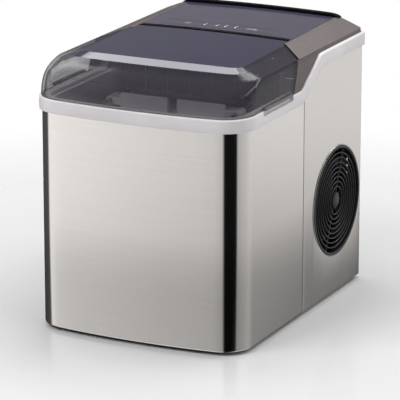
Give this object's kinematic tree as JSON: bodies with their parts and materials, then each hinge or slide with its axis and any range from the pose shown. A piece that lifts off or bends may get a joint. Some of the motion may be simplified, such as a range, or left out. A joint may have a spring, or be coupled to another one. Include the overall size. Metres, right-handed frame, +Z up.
{
  "type": "ice maker",
  "caption": "Countertop ice maker: a steel-clad box with a pale sloping band, a clear hinged lid, a dark rear cover with touch controls and a round side grille.",
  "frame": {"origin": "on the floor, at the middle of the body's plan", "axes": "+X to the object's right as seen from its front, +Y to the rear, +Z up"},
  "size_m": [0.245, 0.323, 0.2939],
  "materials": {
    "brushed_steel": "satin, upright grain",
    "band_plastic": "pale satin",
    "smoked_clear": "smoky clear plastic, polished",
    "cover_plastic": "dark brown-grey gloss",
    "panel_gloss": "dark purple-grey gloss",
    "black_plastic": "black satin",
    "liner_plastic": "pale grey satin",
    "basket_plastic": "pale grey satin",
    "dark_guard": "dark blue-black",
    "zinc_steel": "zinc-coated sheet steel",
    "nickel": "nickel plate",
    "copper": "drawn copper tube",
    "aluminium_fins": "bare fins",
    "black_enamel": "black enamel",
    "rubber": "matt black",
    "board_green": "circuit board",
    "lens_white": "translucent lens",
    "silicone": "clear-white hose"
  },
  "bodies": {
    "cabinet": {"base_pan": "black_plastic", "compressor": "black_enamel", "compressor_mount_1": "rubber", "compressor_mount_2": "rubber", "compressor_mount_3": "rubber", "compressor_mount_4": "rubber", "compressor_plate": "zinc_steel", "condenser": "aluminium_fins", "condenser_pipe": "copper", "control_board": "board_green", "control_panel": "panel_gloss", "cover_deck": "black_plastic", "evaporator": "nickel", "fan_grille": "black_plastic", "fan_motor": "zinc_steel", "fan_shroud": "black_plastic", "filter_drier": "copper", "foot_front_left": "rubber", "foot_front_right": "rubber", "foot_rear_left": "rubber", "foot_rear_right": "rubber", "front_wrap": "brushed_steel", "hot_gas_pipe": "copper", "ice_slide": "liner_plastic", "inner_liner": "liner_plastic", "lamp_1": "lens_white", "lamp_2": "lens_white", "lamp_3": "lens_white", "lamp_4": "lens_white", "lid_hinge_pin_left": "nickel", "lid_hinge_pin_right": "nickel", "power_inlet": "black_plastic", "rake_guide_left": "nickel", "rake_guide_right": "nickel", "rear_lip": "black_plastic", "rear_panel": "zinc_steel", "rear_screw_a": "nickel", "rear_screw_b": "nickel", "rear_screw_c": "nickel", "rear_screw_d": "nickel", "side_panel_left": "brushed_steel", "side_panel_right": "brushed_steel", "splash_guard": "dark_guard", "suction_pipe": "copper", "top_cover": "cover_plastic", "tray_bearing": "liner_plastic", "tray_motor": "black_plastic", "trim_band": "band_plastic", "water_hose": "silicone", "water_pump": "black_plastic"},
    "lid": {"lid": "smoked_clear"},
    "tray": {"water_tray": "liner_plastic", "tray_shaft": "nickel"},
    "rake": {"ice_rake": "basket_plastic"},
    "fan": {"fan_rotor": "black_plastic"},
    "power_key": {"power_button": "cover_plastic"},
    "size_key": {"size_button": "cover_plastic"},
    "basket": {"ice_basket": "basket_plastic"},
    "plug": {"drain_plug": "rubber"}
  },
  "joints": [
    {"name": "lid_hinge", "type": "hinge", "parent": "cabinet", "child": "lid", "pos_m": [0, 0.0235, 0.281], "axis": [-1, 0, 0], "range_deg": [0, 80]},
    {"name": "tray_tilt", "type": "hinge", "parent": "cabinet", "child": "tray", "pos_m": [0, 0.024, 0.236], "axis": [1, 0, 0], "range_deg": [0, 60]},
    {"name": "rake_slide", "type": "slide", "parent": "cabinet", "child": "rake", "axis": [0, 1, 0], "range_m": [0, 0.0279]},
    {"name": "fan_spin", "type": "hinge", "parent": "cabinet", "child": "fan", "pos_m": [0.097, 0.089, 0.1045], "axis": [1, 0, 0], "continuous": true},
    {"name": "power_press", "type": "slide", "parent": "cabinet", "child": "power_key", "axis": [0, 0, -1], "range_m": [0, 0.0008], "stiffness_N_per_m": 400, "springref_m": -0.001},
    {"name": "size_press", "type": "slide", "parent": "cabinet", "child": "size_key", "axis": [0, 0, -1], "range_m": [0, 0.0008], "stiffness_N_per_m": 400, "springref_m": -0.001},
    {"name": "basket_lift", "type": "slide", "parent": "cabinet", "child": "basket", "axis": [0, 0, 1], "range_m": [0, 0.012]},
    {"name": "plug_pull", "type": "slide", "parent": "cabinet", "child": "plug", "axis": [0, 1, 0], "range_m": [0, 0.012]}
  ],
  "couplings": [
    {"joint": "tray_tilt", "follows": "rake_slide", "rad_per_m": 37.4}
  ]
}
